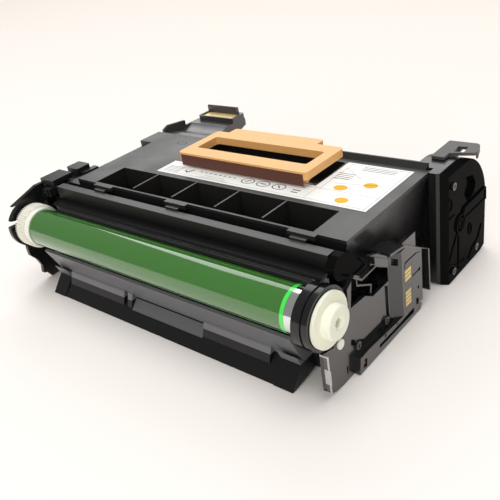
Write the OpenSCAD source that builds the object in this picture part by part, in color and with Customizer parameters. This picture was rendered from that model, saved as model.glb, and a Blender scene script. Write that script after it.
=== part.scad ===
// Drum unit of a desktop page printer, in millimetres.
// X runs along the drum, from the gear end (-X) to the drive hub end (+X).
// Y runs from the drum to the rear arms, Z is up, and the unit stands on Z = 0.
// Most pieces are drawn in the drum frame: X from the left end of the coating,
// Y and Z from the drum axis.

/* [Drum] */
// Radius of the coated drum
drum_r = 14; // [12:0.5:14.5]
// Length of the coating
coat_len = 236; // [225:1:260]
// Bare aluminium band beside the hub
band_len = 7.5; // [6:0.5:10]
// Wall of the drum tube
tube_wall = 0.75; // [0.6:0.05:1.2]
// Height of the drum axis above the surface
axis_h = 50; // [49:0.5:54]

/* [Gear end] */
// Teeth of the drum gear
drum_teeth = 60; // [60:60:60]
// Gear module of the drum train
fine_m = 0.5355; // [0.53:0.0005:0.54]
// Face width of the drum gear
gear_w = 10; // [8:0.5:12]
// Width of the collar between gear and coating
collar_w = 4.6; // [3:0.2:6]
// Radius of the steel pin that carries the gear end
pin_r = 4; // [3:0.5:5]
// Radius of the round gear guard
guard_r = 18; // [17.6:0.1:20]
// Thickness of the gear guard plate
guard_t = 3.5; // [2.5:0.5:5]
// Space between guard plate and gear
gear_gap = 3.9; // [2:0.1:5]

/* [Hub end] */
// Width of the black ring that carries the hub
ring_w = 10; // [8:0.5:12]
// Outer radius of that ring
ring_r = 18.5; // [17.5:0.5:20]
// Radius of the hub journal in the ring
journal_r = 13.9; // [13:0.1:14.4]
// Radius of the white disc
disc_r = 16.1; // [15:0.1:17]
// Thickness of the white disc
disc_t = 2; // [1.5:0.1:3]
// Radius of the drive boss
boss_r = 10; // [9:0.5:11]
// Length of the drive boss
boss_len = 5.5; // [5:0.5:8]

/* [Deck] */
// Front edge of the deck behind the drum axis
deck_front = 28.5; // [28:0.5:32]
// Depth of the deck
deck_d = 97.5; // [90:0.5:110]
// Height of the deck above the drum axis
deck_rise = 31; // [30:0.5:34]
// Thickness of the deck
deck_t = 2; // [1.6:0.1:3]
// Left edge of the deck
deck_left = 17; // [14:0.5:20]
// How far the deck passes the coating on the right
deck_over = 15; // [14:0.5:17]
// Left edge of the cell opening
open_left = 37.5; // [34:0.5:42]
// Distance from the cell opening to the end of the coating
open_end = 7.5; // [4:0.5:12]
// Depth of the cells from front to back
open_d = 27; // [24:0.5:29]
// Lip in front of the cells
open_lip = 1.5; // [1:0.1:2]
// Height of the cells
cell_h = 20; // [14:0.5:21]
// Number of cells
cells = 5; // [3:1:8]
// Thickness of the ribs between the cells
rib_t = 1.2; // [0.8:0.1:2]

/* [Housing] */
// Depth of the rear arms behind the deck
arm_d = 62; // [55:1:70]
// Wall of the moulded housings
wall = 2.5; // [2:0.1:3]
// Height of the feet
foot_h = 3; // [2:0.5:4]
// How far the rear gear housing passes the coating
right_over = 32; // [31:0.5:36]

/* [Handle] */
// Width of the handle frame
handle_w = 113; // [100:1:118]
// Left side of the handle
handle_left = 80.5; // [78:0.5:84]
// Width of the handle arms
handle_arm = 8; // [6:0.5:10]
// Height of the handle above the deck
handle_rise = 11; // [10:0.5:14]
// Depth of the front grip bar
grip_d = 12; // [10:0.5:14]
// Radius of the hinge barrel
barrel_r = 3; // [2.5:0.1:3.4]

/* [Rollers] */
// Radius of the charge roller
charge_r = 5; // [4:0.5:6]
// Radius of the developer roller
dev_r = 8; // [7:0.5:8]
// Gap between the drum and a roller that serves it
nip = 0.35; // [0.3:0.05:0.5]
// Radius of a mixing auger
mix_r = 8.5; // [7:0.5:9]
// Teeth of a mixing gear
mix_teeth = 20; // [20:1:20]
// Pitch of the mixing augers
mix_pitch = 24; // [18:2:30]
// Radius of the waste auger
waste_r = 4.2; // [3.5:0.1:4.4]

/* [Fits] */
// Radial clearance of a running fit
run_fit = 0.05; // [0.02:0.01:0.09]
// Clearance around a loose fit
loose_fit = 0.3; // [0.2:0.05:0.5]

/* [Hidden] */
$fn = 64;
eps = 0.01;

// Overall size and the place of the drum frame
left_len = guard_t + gear_gap + gear_w + collar_w;
unit_w = left_len + coat_len + right_over;
front_r = max(guard_r, ring_r);
unit_d = front_r + deck_front + deck_d + arm_d;
drum_x = -unit_w / 2 + left_len;
drum_y = -unit_d / 2 + front_r;
floor_z = -axis_h;
bottom_z = floor_z + foot_h;

// Stations along X
gear_x = -collar_w - gear_w;
guard_x = -left_len;
tube_len = coat_len + band_len;
ring_x = tube_len + 0.5;
disc_x = ring_x + ring_w + 0.5;
boss_x = disc_x + disc_t;
deck_right = coat_len + deck_over;
plate_x = coat_len + 19;
plate_t = 2.5;
rail_x = plate_x + 4;
rim_x = rail_x + 1.2;
house_x0 = 3;
house_x1 = coat_len + 7;
block_x = coat_len + 22;
cover_x = coat_len + 27;

// Stations along Y
deck_back = deck_front + deck_d;
back_y = deck_back + 4;
rear_y = deck_back + arm_d;
open_y0 = deck_front + open_lip;
open_y1 = open_y0 + open_d;
open_x0 = open_left;
open_x1 = coat_len - open_end;

// The drum gear and what meshes with it
tube_ir = drum_r - tube_wall;
collar_r = drum_r + 0.8;
dev_teeth = 16;
waste_teeth = 36;
mix_in_teeth = 50;
dev_cd = (drum_teeth + dev_teeth) * fine_m / 2;
waste_cd = (drum_teeth + waste_teeth) * fine_m / 2;
dev_a = -20;
waste_a = 36;
dev_y = dev_cd * cos(dev_a);
dev_z = dev_cd * sin(dev_a);
waste_y = waste_cd * cos(waste_a);
waste_z = waste_cd * sin(waste_a);
dev_body_r = min(dev_r, dev_cd - drum_r - nip);
journal_s = 3;
dev_phase = mate(dev_a, drum_teeth, waste_a, dev_teeth);

// The mixing augers
mix_m = 1;
mix_cd = mix_teeth * mix_m;
mix1_a = -40;
mix2_a = -12;
mix_in_cd = (dev_teeth + mix_in_teeth) * fine_m / 2;
mix1_y = dev_y + mix_in_cd * cos(mix1_a);
mix1_z = dev_z + mix_in_cd * sin(mix1_a);
mix2_y = mix1_y + mix_cd * cos(mix2_a);
mix2_z = mix1_z + mix_cd * sin(mix2_a);
mix_bore = mix_r + 1;
auger_x0 = house_x0 + wall + 1;
auger_x1 = house_x1 - wall - 1;

// The charge roller below the drum
charge_a = -78;
charge_cd = drum_r + charge_r + nip;
charge_y = charge_cd * cos(charge_a);
charge_z = charge_cd * sin(charge_a);
charge_core = charge_r / 2;
charge_x0 = 12;
charge_x1 = coat_len - 10;
bearing_w = 5;
bearing_y = 7;
bearing_x0 = charge_x0 - bearing_w - 1;
bearing_x1 = charge_x1 + 1;
bearing_h = 8;
tray_x0 = bearing_x0 - 2;
tray_x1 = bearing_x1 + bearing_w + 2;
trough_z = -34;
spring_z = -30;
slot_y = charge_y - bearing_y / 2 - 0.05;

// The cleaning blade over the drum
blade_a = 62;
blade_tilt = 8;
blade_t = 2;
blade_len = 8;
sheet_t = 1.2;
tip_r = drum_r + loose_fit;

// The front beam
beam_x0 = 6;
beam_x1 = coat_len + 11;
beam_front = 15.8;
beam_top = deck_rise - 3;
strip_d = 6.4;
bore_w = waste_r + 0.4;

// Front of the chips and rear end of the seat that carries them
chip_y = 73.6;
seat_y = 96;

// The rear gear housing
big_r = arm_d - 21;
block_y = deck_back + 17;
block_z = deck_rise - big_r;
block_front = deck_back - 3.5;

// Screw positions seen from the right
side_spots = [[24, -33], [56, -36.4], [99, -34]];
cover_spots = [[back_y + 1.5, 20], [back_y + 1.5, -42], [rear_y - 20, -42]];

// The handle
hinge_y = deck_back - 3;
hinge_z = deck_rise + barrel_r + 1.2;
handle_top = deck_rise + handle_rise;
handle_right = handle_left + handle_w;
grip_y = deck_back - 51;
rear_bar_y = deck_back - 17.5;
flap_x0 = handle_left + 11.5;
flap_x1 = handle_right - 21.5;
well_x0 = handle_left - 3;
well_x1 = handle_right + 0.5;
well_y0 = grip_y + 9;
well_y1 = deck_back - 6;
well_h = 13;
rod_r = 1.5;

function polar(r, a) = [r * cos(a), r * sin(a)];
function blade_pt(u, v) = polar(tip_r, blade_a) + polar(u, blade_tilt) + polar(v, blade_tilt + 90);

// Angle of a tooth on the driven gear, so that it meshes with the driving gear
function mate(a, n1, phase, n2) = a + 180 + 180 / n2 - (phase - a) * n1 / n2;

// Outline of a spur gear with straight flanks, a tooth centred on the phase angle
function gear_pts(n, m, phase) = [
    for (i = [0:n - 1], k = [0:3])
        let (
            tip = m * (n + 2) / 2 - 0.1 * m,
            root = m * (n - 2.6) / 2,
            r = (k == 1 || k == 2) ? tip : root,
            half = (k == 1 || k == 2) ? 0.11 : 0.32,
            side = k < 2 ? -1 : 1
        )
        polar(r, phase + (i + side * half) * 360 / n)
];

module at_drum() {
    translate([drum_x, drum_y, axis_h]) children();
}

// Extrudes a Y-Z outline along X
module along_x(x0, len) {
    translate([x0, 0, 0]) rotate([90, 0, 90]) linear_extrude(len) children();
}

module rod(x0, len, r, y = 0, z = 0) {
    translate([x0, y, z]) rotate([0, 90, 0]) cylinder(h = len, r = r);
}

module box(x0, x1, y0, y1, z0, z1) {
    translate([x0, y0, z0]) cube([x1 - x0, y1 - y0, z1 - z0]);
}

// A box whose four upright edges are round
module round_box(x0, x1, y0, y1, z0, z1, r) {
    translate([0, 0, z0]) linear_extrude(z1 - z0) rounded(x0, x1, y0, y1, r);
}

module rounded(x0, x1, y0, y1, r) {
    union() {
        translate([x0 + r, y0]) square([x1 - x0 - 2 * r, y1 - y0]);
        translate([x0, y0 + r]) square([x1 - x0, y1 - y0 - 2 * r]);
        for (x = [x0 + r, x1 - r], y = [y0 + r, y1 - r])
            translate([x, y]) circle(r = r);
    }
}

module drum_tube() {
    color([0.26, 0.49, 0.2]) at_drum() difference() {
        rod(0, tube_len, drum_r);
        rod(-1, tube_len + 2, tube_ir);
    }
}

// White flange with the fine gear, held in the tube and turning on the steel pin
module drum_gear() {
    spigot = 12;
    color([0.94, 0.94, 0.9]) at_drum() difference() {
        union() {
            along_x(gear_x, gear_w) polygon(gear_pts(drum_teeth, fine_m, waste_a));
            rod(-collar_w, collar_w, collar_r);
            rod(0, spigot, tube_ir - 0.02);
        }
        rod(gear_x - 1, gear_w + collar_w + spigot - 3, pin_r + run_fit);
        difference() {
            rod(gear_x - 1, 5, 14);
            rod(gear_x - 2, 7, pin_r + 3);
            for (a = [0:60:300])
                rotate([a, 0, 0]) box(gear_x, gear_x + 5, 0, 15, -0.8, 0.8);
        }
        rod(4, spigot, 8.5);
    }
}

module gear_pin() {
    color([0.75, 0.75, 0.76]) at_drum() rod(guard_x + 0.5, -guard_x - 0.5 + 3, pin_r);
}

module drum_hub() {
    spigot = 12;
    round_r = 1.2;
    color([0.95, 0.95, 0.88]) at_drum() difference() {
        union() {
            rod(tube_len - spigot, spigot, tube_ir - 0.02);
            rod(tube_len, disc_x - tube_len, journal_r);
            rod(disc_x, disc_t, disc_r);
            translate([boss_x, 0, 0]) rotate([0, 90, 0]) rotate_extrude() {
                square([boss_r, boss_len - round_r]);
                square([boss_r - round_r, boss_len]);
                translate([boss_r - round_r, boss_len - round_r]) circle(r = round_r);
            }
        }
        rod(tube_len - spigot - 1, spigot - 3, 8.5);
        translate([boss_x + boss_len - 1.2, 0, 0]) rotate([0, 90, 0])
            cylinder(h = 1.2 + eps, r1 = 2.6, r2 = 4.4);
        rod(boss_x - 1, boss_len + 1, 2.6);
    }
}

// Black ring round the hub journal, with its lug to the side plate
module hub_ring() {
    color([0.07, 0.07, 0.08]) at_drum() difference() {
        union() {
            rod(ring_x, ring_w, ring_r);
            along_x(ring_x + 3.8, 1.4)
                polygon([[5.5, ring_r - 2], [5.5, ring_r - 0.8], [11.9, ring_r + 1.2], [11.9, 13.8]]);
            box(plate_x - plate_t - 4, plate_x - plate_t, 10, 24, -ring_r + 4, 8);
        }
        rod(ring_x - 1, ring_w + 2, journal_r + run_fit);
        rod(ring_x + ring_w - 1, 2, disc_r + loose_fit);
        difference() {
            rod(ring_x + 5.5, 1.5, ring_r + 1);
            rod(ring_x + 5, 2.5, ring_r - 0.8);
            box(ring_x, disc_x, 6, 30, -30, 30);
        }
    }
}

// Gear guard, left frame box and the two blocks beside the deck
module guard_outline() {
    difference() {
        union() {
            circle(r = guard_r);
            polygon([[2, 17.8], [-11, 18.5], [13, 26], [20, 26], [20, deck_rise - 7], [58, deck_rise - 7],
                [58, bottom_z], [2, floor_z + 1], [-1, floor_z + 6], [-4, -43], [-3, -37], [-5.5, -30],
                [-10, -24], [-10, -17]]);
        }
        polygon([[-20, 9.5], [-9, 6.8], [-9, 4.2], [-20, 4.2]]);
    }
}

module left_end_frame() {
    block_z = deck_rise - 1;
    lid_z = deck_rise - 7;
    color([0.05, 0.05, 0.055]) at_drum() difference() {
        union() {
            along_x(guard_x, guard_t) guard_outline();
            box(guard_x + guard_t - eps, house_x0, 20, 58, bottom_z, lid_z);
            round_box(guard_x + guard_t, -2, 18, 36.5, lid_z + 1.8, block_z, 1);
            round_box(guard_x + guard_t + 2, -2.7, 42, 54.5, lid_z - 1, block_z, 1);
            box(-2.7, house_x0, 44, 58, lid_z - 1, lid_z + 3);
            for (x = [-4.4, -1])
                box(x, x + 1.2, 12, 20 + eps, lid_z - 4, lid_z + 2);
        }
        box(guard_x + guard_t, 0, 19.7, 55.5, bottom_z + wall, lid_z - 1.8);
        box(guard_x + guard_t + 1.8, -3.8, 19.8, 34.7, lid_z - 3, block_z - 1.8);
        rod(guard_x - 1, guard_t + 2, pin_r);
        rod(-1, 5, journal_s + 1, dev_y, dev_z);
        rod(-1, 5, journal_s + 1, mix1_y, mix1_z);
        box(-1, house_x0 + 1, 19, 30, dev_z - 6, waste_z + 6);
    }
}

// Closed outline of the main housing, seen from its end
module housing_outline() {
    polygon([[deck_front, deck_rise - deck_t], [back_y, deck_rise - deck_t], [back_y, bottom_z],
        [11, bottom_z], [11, dev_z - 8], [14, dev_z - 8], [24, 4], [24, 7], [deck_front, 7]]);
}

// Housing body whose right wall leans in below the deck
module housing_block() {
    lean = 36;
    difference() {
        along_x(house_x0, deck_right - house_x0) housing_outline();
        translate([0, 0, deck_rise - deck_t]) rotate([90, 0, 0]) translate([0, 0, -back_y - 1])
            linear_extrude(back_y + 10)
                polygon([[deck_right, 0], [deck_right + 5, 5], [deck_right + 5, -120], [house_x1, -120],
                    [house_x1, -lean]]);
    }
}

module main_housing() {
    roof = 4;
    rib_n = 8;
    bay_w = (house_x1 - house_x0 - wall) / rib_n;
    ledge_z = deck_rise - 5;
    mix_axes = [[mix1_y, mix1_z], [mix2_y, mix2_z]];
    color([0.045, 0.045, 0.05]) at_drum() difference() {
        union() {
            housing_block();
            for (x = [house_x0, house_x1 - wall])
                rod(x, wall, journal_s + 2, dev_y, dev_z);
        }
        box(house_x0 - 1, deck_left, deck_front - 1, deck_front + 76, ledge_z, deck_rise);
        box(deck_left + 2, house_x1 - wall, deck_front + wall, back_y - wall, roof, deck_rise);
        box(house_x0 + wall, house_x1 - wall, deck_front + wall, back_y - wall, roof, ledge_z - 2);
        box(house_x0 + wall, house_x1 - wall, 68, back_y - wall, bottom_z + wall, ledge_z - 2);
        rod(house_x0 + wall, house_x1 - house_x0 - 2 * wall, dev_body_r + 1, dev_y, dev_z);
        for (p = mix_axes)
            rod(house_x0 + wall, house_x1 - house_x0 - 2 * wall, mix_bore, p[0], p[1]);
        box(house_x0 + wall, house_x1 - wall, dev_y, mix2_y + mix_bore, mix2_z, roof - 2);
        for (i = [0:rib_n - 1])
            box(house_x0 + wall + i * bay_w, house_x0 + (i + 1) * bay_w, 14, 62, bottom_z - 1,
                mix2_z - mix_bore - 2);
        for (x = [house_x0 - 1, house_x1 - wall - 1])
            for (p = concat([[dev_y, dev_z]], mix_axes))
                rod(x, wall + 2, journal_s + run_fit, p[0], p[1]);
        box(auger_x0, auger_x1, dev_y + 2.2, deck_front, dev_z + dev_body_r + 1.2, 4);
    }
}

module deck_outline() {
    polygon([[deck_left, deck_front], [deck_right, deck_front], [deck_right, deck_back], [house_x0, deck_back],
        [house_x0, deck_front + 76], [deck_left, deck_front + 76]]);
}

// Deck with its row of cells, the handle well, the clips and the raised rear edge
module top_cover() {
    cell_w = (open_x1 - open_x0 - (cells - 1) * rib_t) / cells;
    skin = 1.5;
    under = deck_rise - deck_t;
    color([0.06, 0.06, 0.065]) at_drum() difference() {
        union() {
            translate([0, 0, under]) linear_extrude(deck_t) deck_outline();
            box(open_x0 - skin, open_x1 + skin, deck_front + wall + eps, open_y1 + skin, deck_rise - cell_h,
                under + eps);
            box(well_x0 - skin, well_x1 + skin, well_y0 - skin, well_y1 + skin, deck_rise - well_h - skin,
                under + eps);
            for (x = [open_x0 + 2, (open_x0 + open_x1) / 2 - 19.5, open_x1 - 15])
                clip(x);
            rear_lip();
            for (x = [flap_x0 - 6.5, flap_x1 + 0.5])
                hinge_lug(x);
        }
        for (i = [0:cells - 1])
            box(open_x0 + i * (cell_w + rib_t), open_x0 + i * (cell_w + rib_t) + cell_w,
                max(open_y0, deck_front + wall + skin), open_y1, deck_rise - cell_h + skin, deck_rise + 1);
        box(open_x0, open_x1, open_y0, deck_front + wall + skin + eps, under, deck_rise + 1);
        round_box(well_x0, well_x1, well_y0, well_y1, deck_rise - well_h, deck_rise + 1, 3);
        for (x = [flap_x0 - 6.5, flap_x1 + 0.5])
            rod(x - 1, 8, rod_r, hinge_y, hinge_z);
    }
}

module clip(x) {
    box(x, x + 19, deck_front - 3, deck_front, beam_top, deck_rise);
    box(x + 4, x + 15, beam_front + strip_d, deck_front, beam_top, beam_top + 1.4);
}

module rear_lip() {
    along_x(handle_right - 12, deck_right - handle_right + 9)
        polygon([[deck_back - 0.5, deck_rise - deck_t], [deck_back - 0.5, deck_rise], [back_y - 1.2, deck_rise + 3.5],
            [back_y, deck_rise + 3.5], [back_y, deck_rise - deck_t]]);
}

module hinge_lug(x) {
    along_x(x, 6) union() {
        translate([hinge_y, hinge_z]) circle(r = barrel_r);
        translate([hinge_y - barrel_r, deck_rise - deck_t]) square([2 * barrel_r, hinge_z - deck_rise + deck_t]);
    }
}

// Beam over the drum, which holds the blade and the waste auger
module front_beam() {
    back = deck_front;
    color([0.05, 0.05, 0.055]) at_drum() difference() {
        along_x(beam_x0, beam_x1 - beam_x0) polygon([
            [beam_front, beam_top], [beam_front, 18.8], [9.5, 17.6], blade_pt(2, blade_t + sheet_t),
            blade_pt(9, blade_t + sheet_t), blade_pt(9, 0), [17, 8.5], [back, 8.5], [back, beam_top - 3.5],
            [beam_front + strip_d, beam_top - 3.5], [beam_front + strip_d, beam_top]]);
        rod(beam_x0 + 2, beam_x1 - beam_x0 - 4, bore_w, waste_y, waste_z);
        rod(beam_x0 - 1, 4, 2 + run_fit, waste_y, waste_z);
        rod(beam_x1 - 3, 4, 2 + run_fit, waste_y, waste_z);
        box(beam_x0 + 8, beam_x1 - 8, 13, 19, 9.6, 11.6);
        rod(ring_x - 1, ring_w + 2, ring_r + loose_fit);
    }
}

module beam_end_cap() {
    color([0.045, 0.045, 0.05]) at_drum() difference() {
        union() {
            rod(beam_x1, plate_x - plate_t - beam_x1, 7.5, beam_front + 4, 20);
            along_x(beam_x1, plate_x - plate_t - beam_x1)
                polygon([[beam_front + 3, beam_top - 0.6], [24, beam_top - 0.6], [32, 22], [39, 14.6], [43, 9],
                    [beam_front + 3, 9]]);
        }
        housing_block();
        rod(beam_x1 - 1, 3, 2 + loose_fit, waste_y, waste_z);
        rod(ring_x - 1, ring_w + 2, ring_r + loose_fit);
    }
}

module blade_bracket() {
    color([0.7, 0.71, 0.72]) at_drum() along_x(beam_x0 + 4, beam_x1 - beam_x0 - 8)
        polygon([blade_pt(2, blade_t), blade_pt(9, blade_t), blade_pt(9, blade_t + sheet_t),
            blade_pt(2, blade_t + sheet_t)]);
}

module cleaning_blade() {
    color([0.75, 0.45, 0.2]) at_drum() along_x(beam_x0 + 6, beam_x1 - beam_x0 - 12)
        polygon([blade_pt(0, 0), blade_pt(blade_len, 0), blade_pt(blade_len, blade_t), blade_pt(0.6, blade_t)]);
}

// Screw conveyor: a twisted flight round a straight core, with plain journals
module auger(x0, x1, r, core, pitch, steps) {
    len = x1 - x0;
    side = core * 0.8;
    translate([x0, 0, 0]) rotate([0, 90, 0])
        linear_extrude(len, twist = -360 * len / pitch, slices = ceil(len / pitch * steps), $fn = 4)
            polygon([[0, -core], [side, -side], [r, -side], [r, side], [side, side], [0, core], [-core, 0]]);
}

module waste_auger() {
    color([0.15, 0.15, 0.16]) at_drum() translate([0, waste_y, waste_z]) {
        auger(beam_x0 + 3, beam_x1 - 3, waste_r, 2, 14, 8);
        rod(gear_x, beam_x0 + 3.2 - gear_x, 2);
        rod(beam_x1 - 3.2, 3.2 + 1, 2);
    }
}

module waste_gear() {
    color([0.08, 0.08, 0.09]) at_drum() difference() {
        translate([0, waste_y, waste_z]) along_x(gear_x + 1, gear_w - 2)
            polygon(gear_pts(waste_teeth, fine_m, mate(waste_a, drum_teeth, waste_a, waste_teeth)));
        rod(gear_x - 1, gear_w + 2, 2, waste_y, waste_z);
    }
}

// Tray below the drum: undercut front, trough of the charge roller and slanted skirt
module lower_tray() {
    lip_y = -9;
    lip_z = -14.6;
    knee_y = 1;
    knee_z = -36.4;
    toe_y = -12;
    skin = 2.2;
    end_w = 14;
    color([0.06, 0.06, 0.07]) at_drum() difference() {
        union() {
            along_x(tray_x0, tray_x1 - tray_x0)
                polygon([[lip_y, lip_z], [lip_y + skin, lip_z + 0.6], [knee_y + skin, trough_z], [11, trough_z],
                    [11, knee_z], [knee_y, knee_z]]);
            along_x(tray_x0, tray_x1 - tray_x0)
                polygon([[knee_y, knee_z], [knee_y + skin, knee_z], [toe_y + 3.2, floor_z], [toe_y, floor_z]]);
            for (x = [tray_x0, tray_x1 - 7])
                along_x(x, 7) polygon([[slot_y - 1.6, -16], [11, -16], [11, knee_z + 0.4], [knee_y + 0.5, knee_z + 0.4],
                    [slot_y - 1.6, spring_z + 0.5]]);
            for (x = [tray_x0, tray_x1 - end_w])
                along_x(x, end_w) polygon([[-5, -30], [knee_y, knee_z], [11, knee_z], [11, bottom_z], [toe_y + 3.2, floor_z],
                    [toe_y - 0.4, floor_z], [-2, -38]]);
            for (s = [[16, 62, 4.5], [82, 4.5, 5], [tray_x1 - tray_x0 - 75, 54, 4.5]])
                along_x(tray_x0 + s[0], s[1])
                    polygon([[knee_y, knee_z], [-4, -43], [-5.2, -42], [knee_y - 3, knee_z + s[2] - 1],
                        [knee_y - 1.8, knee_z + s[2]]]);
        }
        for (x = [bearing_x0, tray_x1 - 8])
            box(x, x + 6, slot_y, slot_y + bearing_y + 0.1, spring_z, -10);
        box(tray_x0 + 3, tray_x0 + end_w - 3, -1, 12, floor_z - 1, knee_z - 2);
        box(tray_x1 - end_w + 3, tray_x1 - 3, -1, 12, floor_z - 1, knee_z - 2);
    }
}

module charge_roller() {
    color([0.12, 0.12, 0.13]) at_drum() difference() {
        rod(charge_x0, charge_x1 - charge_x0, charge_r, charge_y, charge_z);
        rod(charge_x0 - 1, charge_x1 - charge_x0 + 2, charge_core, charge_y, charge_z);
    }
}

module charge_shaft() {
    color([0.8, 0.8, 0.8]) at_drum()
        rod(bearing_x0 + 0.4, bearing_x1 + bearing_w - bearing_x0 - 0.8, charge_core, charge_y, charge_z);
}

module charge_bearing(x) {
    color([0.85, 0.85, 0.8]) at_drum() difference() {
        box(x, x + bearing_w, charge_y - bearing_y / 2, charge_y + bearing_y / 2, charge_z - bearing_h / 2,
            charge_z + bearing_h / 2);
        rod(x - 1, bearing_w + 2, charge_core + run_fit, charge_y, charge_z);
    }
}

module charge_bearing_left() {
    charge_bearing(bearing_x0);
}

module charge_bearing_right() {
    charge_bearing(bearing_x1);
}

// Points of one wire ring of a coil spring
function coil_ring(t, r, wire, rise, turns) = [
    for (k = [0:5])
        let (a = 360 * t * turns, q = r + wire * cos(60 * k + 30))
        [q * cos(a), q * sin(a), t * rise + wire * sin(60 * k + 30)]
];

module coil(r, wire, rise, turns) {
    steps = turns * 10;
    last = 6 * steps;
    polyhedron(
        points = [for (i = [0:steps]) each coil_ring(i / steps, r, wire, rise, turns)],
        faces = concat(
            [[0, 1, 2, 3, 4, 5]],
            [for (i = [0:steps - 1], k = [0:5])
                [6 * i + k, 6 * i + 6 + k, 6 * i + 6 + (k + 1) % 6, 6 * i + (k + 1) % 6]],
            [[last + 5, last + 4, last + 3, last + 2, last + 1, last]]));
}

module charge_spring(x) {
    wire = 0.4;
    low = spring_z + wire;
    color([0.7, 0.7, 0.7]) at_drum() translate([x + bearing_w / 2, charge_y, low])
        coil(2, wire, charge_z - bearing_h / 2 - wire - low, 6);
}

module charge_spring_left() {
    charge_spring(bearing_x0);
}

module charge_spring_right() {
    charge_spring(bearing_x1);
}

module developer_roller() {
    color([0.55, 0.55, 0.57]) at_drum() translate([0, dev_y, dev_z]) {
        rod(auger_x0, auger_x1 - auger_x0, dev_body_r);
        rod(gear_x + 1, auger_x0 - gear_x - 1, journal_s);
        rod(auger_x1, house_x1 - auger_x1 - 0.2, journal_s);
    }
}

module developer_gear() {
    color([0.9, 0.9, 0.88]) at_drum() difference() {
        translate([0, dev_y, dev_z]) along_x(gear_x + 1, gear_w - 2)
            polygon(gear_pts(dev_teeth, fine_m, dev_phase));
        rod(gear_x, gear_w + 2, journal_s, dev_y, dev_z);
    }
}

module doctor_blade() {
    color([0.72, 0.72, 0.73]) at_drum()
        box(auger_x0, auger_x1, dev_y + 2.2, deck_front, dev_z + dev_body_r + 1.2, 4);
}

module mixing_auger(y, z, x0) {
    color([0.2, 0.2, 0.21]) at_drum() translate([0, y, z]) {
        auger(auger_x0, auger_x1, mix_r, 3, mix_pitch, 10);
        rod(x0, auger_x0 + 0.2 - x0, journal_s);
        rod(auger_x1 - 0.2, house_x1 + 5 - auger_x1 + 0.2, journal_s);
    }
}

module mixing_auger_front() {
    mixing_auger(mix1_y, mix1_z, gear_x + 1);
}

module mixing_auger_rear() {
    mixing_auger(mix2_y, mix2_z, house_x0 + 0.4);
}

module mixing_gear(y, z, phase) {
    color([0.9, 0.9, 0.86]) at_drum() difference() {
        translate([0, y, z]) along_x(house_x1 + 0.5, 4.5) polygon(gear_pts(mix_teeth, mix_m, phase));
        rod(house_x1, 6, journal_s, y, z);
    }
}

// Gear on the left end of the front auger, driven by the developer gear
module mixing_gear_left() {
    color([0.1, 0.1, 0.11]) at_drum() difference() {
        translate([0, mix1_y, mix1_z]) along_x(gear_x + 1, gear_w - 2)
            polygon(gear_pts(mix_in_teeth, fine_m, mate(mix1_a, dev_teeth, dev_phase, mix_in_teeth)));
        rod(gear_x, gear_w + 2, journal_s, mix1_y, mix1_z);
    }
}

module mixing_gear_front() {
    mixing_gear(mix1_y, mix1_z, mix2_a);
}

module mixing_gear_rear() {
    mixing_gear(mix2_y, mix2_z, mate(mix2_a, mix_teeth, mix2_a, mix_teeth));
}

// Outline of the right side plate, seen from its end
module plate_outline() {
    polygon([[-8, -17], [-8, -43], [-5, -46.5], [0, -48.8], [8, floor_z], [92, floor_z + 0.4], [97, -45],
        [105, -41.5], [104, -11], [73, 7.6], [56.5, 10.2], [43.5, 15], [43.5, 8], [33.5, 7.4], [27, 12], [ring_r + 0.3, 7],
        [ring_r + 0.3, 0], [15, -14], [8, -18.3]]);
}

// Thin raised rim round the upper rear edge of the plate
module rim_outline(w = 1.6) {
    polygon([[56.5, 10.2], [73, 7.6], [104, -11], [105, -41.5], [105 - w, -41.5], [104 - w, -11 + w / 2],
        [73 - w / 4, 7.6 - w], [56.5, 10.2 - w]]);
}

// Rail below the plate, on which the unit slides in
module rail_outline() {
    polygon([[19, floor_z + 0.3], [20.5, -39], [30, -38.7], [45, -39.8], [62, -41.1], [84, -42], [91, -42.5],
        [95, -46.5], [93, floor_z + 0.3]]);
}

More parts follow.
